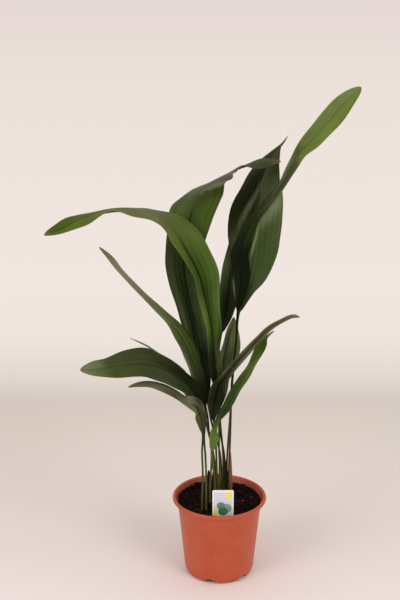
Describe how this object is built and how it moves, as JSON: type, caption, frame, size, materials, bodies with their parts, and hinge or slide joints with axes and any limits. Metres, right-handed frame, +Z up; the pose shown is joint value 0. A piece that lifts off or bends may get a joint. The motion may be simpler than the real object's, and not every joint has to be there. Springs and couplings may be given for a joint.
{
  "type": "potted cast iron plant",
  "caption": "House plant with long strap-like pleated leaves, each on its own stalk, in a round tapered terracotta-coloured nursery pot with soil and a small plant tag.",
  "frame": {"origin": "centre of the pot's flat underside, on the surface that it stands on", "axes": "+Z up through the plant; -Y is the front, where the label stands; +X is to the right seen from the front"},
  "size_m": [0.4179, 0.1633, 0.7396],
  "materials": {
    "terracotta_plastic": "moulded polypropylene, satin, terracotta orange-brown",
    "potting_mix": "moist dark peat mix, granular",
    "label_plastic": "printed white plastic tag, satin",
    "leaf_green": "dark green leaf, waxy satin, fine lengthwise veins",
    "leaf_bright": "bright green leaf, waxy satin, fine lengthwise veins",
    "leaf_olive": "olive green leaf, waxy satin, fine lengthwise veins",
    "dry_pale": "dry papery scale, pale brown, matt",
    "dry_dark": "old dead shoot, dark brown, matt"
  },
  "bodies": {
    "root": {"pot": "terracotta_plastic", "soil": "potting_mix", "label": "label_plastic", "leaf_arching_left": "leaf_bright", "leaf_tall_right": "leaf_green", "leaf_broad_back": "leaf_green", "leaf_folded_left": "leaf_green", "leaf_narrow_left": "leaf_olive", "leaf_broad_low_left": "leaf_green", "leaf_small_low_left": "leaf_olive", "leaf_arching_right": "leaf_olive", "leaf_bright_right": "leaf_bright", "leaf_olive_back": "leaf_olive", "leaf_dark_middle": "leaf_green", "leaf_hidden_left": "leaf_green", "sheath_pale": "dry_pale", "sheath_dark": "dry_dark", "stub_left": "dry_dark", "stub_right": "dry_dark"}
  },
  "joints": []
}
